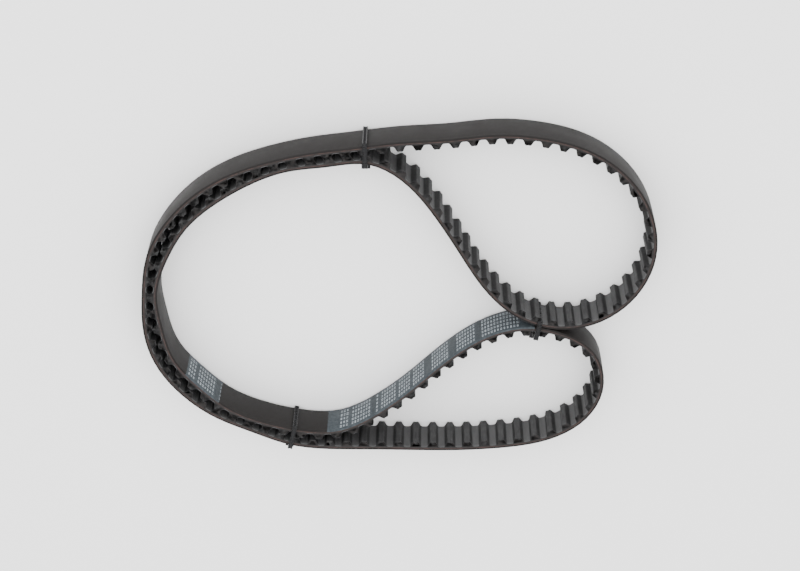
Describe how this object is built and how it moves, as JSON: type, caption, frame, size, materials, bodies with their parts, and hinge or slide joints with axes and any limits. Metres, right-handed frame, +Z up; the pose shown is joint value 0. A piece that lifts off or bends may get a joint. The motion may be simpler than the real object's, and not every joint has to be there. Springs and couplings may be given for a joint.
{
  "type": "timing belt",
  "caption": "Endless toothed rubber timing belt, folded into a crescent and two lobes and held by three cable ties.",
  "frame": {"origin": "on the ground under the middle of the folded belt's bounding box", "axes": "+Z up along the belt's width, +X from the crescent towards the two lobes"},
  "size_m": [0.2729, 0.1954, 0.025],
  "materials": {
    "backing_band": "matte",
    "tensile_cord_layer": "matte",
    "tooth_band": "matte",
    "tooth_facing": "matte",
    "tie_nylon": "semi-gloss"
  },
  "bodies": {
    "belt": {"backing_band": "backing_band", "tensile_cord_layer": "tensile_cord_layer", "tooth_band": "tooth_band", "tooth_facing": "tooth_facing"},
    "top_tie": {"top_tie_strap": "tie_nylon"},
    "top_tie_pawl": {"top_tie_pawl": "tie_nylon"},
    "bottom_tie": {"bottom_tie_strap": "tie_nylon"},
    "bottom_tie_pawl": {"bottom_tie_pawl": "tie_nylon"},
    "middle_tie": {"middle_tie_strap": "tie_nylon"},
    "middle_tie_pawl": {"middle_tie_pawl": "tie_nylon"}
  },
  "joints": [
    {"name": "top_tie_slide", "type": "slide", "parent": "belt", "child": "top_tie", "axis": [0.9989, 0.0467, 0], "range_m": [-0.005, 0.0004]},
    {"name": "top_tie_pawl_hinge", "type": "hinge", "parent": "top_tie", "child": "top_tie_pawl", "pos_m": [-0.01782, 0.07663, 0.0132], "axis": [-0.9989, -0.0467, 0], "range_deg": [0, 10], "stiffness_Nm_per_rad": 0.002},
    {"name": "bottom_tie_slide", "type": "slide", "parent": "belt", "child": "bottom_tie", "axis": [0.9806, -0.1962, 0], "range_m": [-0.005, 0.0044]},
    {"name": "bottom_tie_pawl_hinge", "type": "hinge", "parent": "bottom_tie", "child": "bottom_tie_pawl", "pos_m": [-0.05725, -0.09351, 0.0132], "axis": [-0.9806, 0.1962, 0], "range_deg": [0, 10], "stiffness_Nm_per_rad": 0.002},
    {"name": "middle_tie_slide", "type": "slide", "parent": "belt", "child": "middle_tie", "axis": [0.983, -0.1837, 0], "range_m": [-0.0001, 0.0005]},
    {"name": "middle_tie_pawl_hinge", "type": "hinge", "parent": "middle_tie", "child": "middle_tie_pawl", "pos_m": [0.07498, -0.02155, 0.0132], "axis": [-0.983, 0.1837, 0], "range_deg": [0, 10], "stiffness_Nm_per_rad": 0.002}
  ]
}
